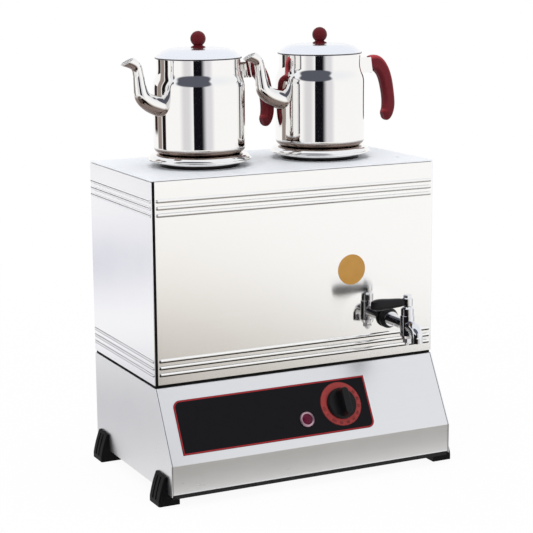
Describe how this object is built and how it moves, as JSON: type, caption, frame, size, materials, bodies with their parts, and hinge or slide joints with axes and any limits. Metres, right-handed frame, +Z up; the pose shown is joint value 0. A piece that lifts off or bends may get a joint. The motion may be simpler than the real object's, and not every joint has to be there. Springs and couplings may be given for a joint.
{
  "type": "electric tea urn",
  "caption": "Electric tea urn: a beaded steel water tank with a lever plug tap on a sloped control base, and loose teapots standing over steam openings in its top.",
  "frame": {"origin": "on the floor under the feet, at the middle of the whole width and depth", "axes": "+Z up, the control panel and tap face -Y, +X to the right seen from the front"},
  "size_m": [0.456, 0.34, 0.6169],
  "materials": {
    "casing_steel": "mirror polished",
    "base_steel": "satin polished",
    "pot_steel": "mirror polished",
    "tank_steel": "mill",
    "tap_chrome": "polished",
    "fastener_steel": "zinc plated",
    "seal_rubber": "matt",
    "cover_black": "semi-matt",
    "foot_plastic": "fine grain",
    "label_film": "semi-gloss",
    "dial_film": "semi-gloss",
    "knob_plastic": "semi-gloss",
    "lamp_lens": "clear",
    "handle_bakelite": "polished",
    "lever_bakelite": "polished",
    "inner_plastic": "moulded",
    "heater_steel": "drawn",
    "gland_nylon": "moulded"
  },
  "bodies": {
    "urn": {"casing_front": "casing_steel", "casing_left": "casing_steel", "casing_right": "casing_steel", "casing_back": "casing_steel", "top_plate": "casing_steel", "base_left_panel": "base_steel", "base_right_panel": "base_steel", "base_front_panel": "base_steel", "base_back_panel": "base_steel", "water_tank": "tank_steel", "tap_body": "tap_chrome", "tap_bonnet": "tap_chrome", "pilot_bezel": "tap_chrome", "cover_screws": "fastener_steel", "foot_screws": "fastener_steel", "heater_bolts": "fastener_steel", "thermostat_nut": "fastener_steel", "tap_lock_nut": "fastener_steel", "corner_seal": "seal_rubber", "seam_gasket": "seal_rubber", "heater_seal": "seal_rubber", "tap_washer": "seal_rubber", "base_bottom_cover": "cover_black", "foot_front_left": "foot_plastic", "foot_front_right": "foot_plastic", "foot_rear_left": "foot_plastic", "foot_rear_right": "foot_plastic", "control_label": "label_film", "dial_plate": "dial_film", "tap_collar": "knob_plastic", "pilot_lens": "lamp_lens", "thermostat_body": "inner_plastic", "pilot_body": "inner_plastic", "terminal_block": "inner_plastic", "heating_element": "heater_steel", "heater_flange": "heater_steel", "thermostat_bulb": "heater_steel", "cable_gland": "gland_nylon", "gland_nut": "gland_nylon"},
    "thermostat_dial": {"thermostat_knob": "knob_plastic", "thermostat_shaft": "fastener_steel"},
    "tap_spindle": {"tap_plug": "tap_chrome", "tap_lever_hub": "tap_chrome", "tap_lever": "lever_bakelite", "tap_cap_nut": "tap_chrome", "tap_plug_nut": "tap_chrome"},
    "left_ring": {"left_steam_ring": "pot_steel"},
    "left_pot": {"left_pot_body": "pot_steel", "left_pot_spout": "pot_steel", "left_handle_bracket": "pot_steel", "left_pot_handle": "handle_bakelite"},
    "left_lid": {"left_pot_lid": "pot_steel", "left_lid_knob": "handle_bakelite"},
    "right_ring": {"right_steam_ring": "pot_steel"},
    "right_pot": {"right_pot_body": "pot_steel", "right_pot_spout": "pot_steel", "right_handle_bracket": "pot_steel", "right_pot_handle": "handle_bakelite"},
    "right_lid": {"right_pot_lid": "pot_steel", "right_lid_knob": "handle_bakelite"}
  },
  "joints": [
    {"name": "thermostat_turn", "type": "hinge", "parent": "urn", "child": "thermostat_dial", "pos_m": [0.052, -0.10711, 0.103], "axis": [0, -0.875, 0.4841], "range_deg": [-270, 0]},
    {"name": "tap_lever_turn", "type": "hinge", "parent": "urn", "child": "tap_spindle", "pos_m": [0.1415, -0.136, 0.212], "axis": [0, 0, 1], "range_deg": [0, 90]},
    {"name": "left_ring_lift", "type": "slide", "parent": "urn", "child": "left_ring", "axis": [0, 0, 1], "range_m": [0, 0.02]},
    {"name": "left_pot_lift", "type": "slide", "parent": "left_ring", "child": "left_pot", "axis": [0, 0, 1], "range_m": [0, 0.12]},
    {"name": "left_lid_lift", "type": "slide", "parent": "left_pot", "child": "left_lid", "axis": [0, 0, 1], "range_m": [0, 0.06]},
    {"name": "right_ring_lift", "type": "slide", "parent": "urn", "child": "right_ring", "axis": [0, 0, 1], "range_m": [0, 0.02]},
    {"name": "right_pot_lift", "type": "slide", "parent": "right_ring", "child": "right_pot", "axis": [0, 0, 1], "range_m": [0, 0.12]},
    {"name": "right_lid_lift", "type": "slide", "parent": "right_pot", "child": "right_lid", "axis": [0, 0, 1], "range_m": [0, 0.06]}
  ]
}
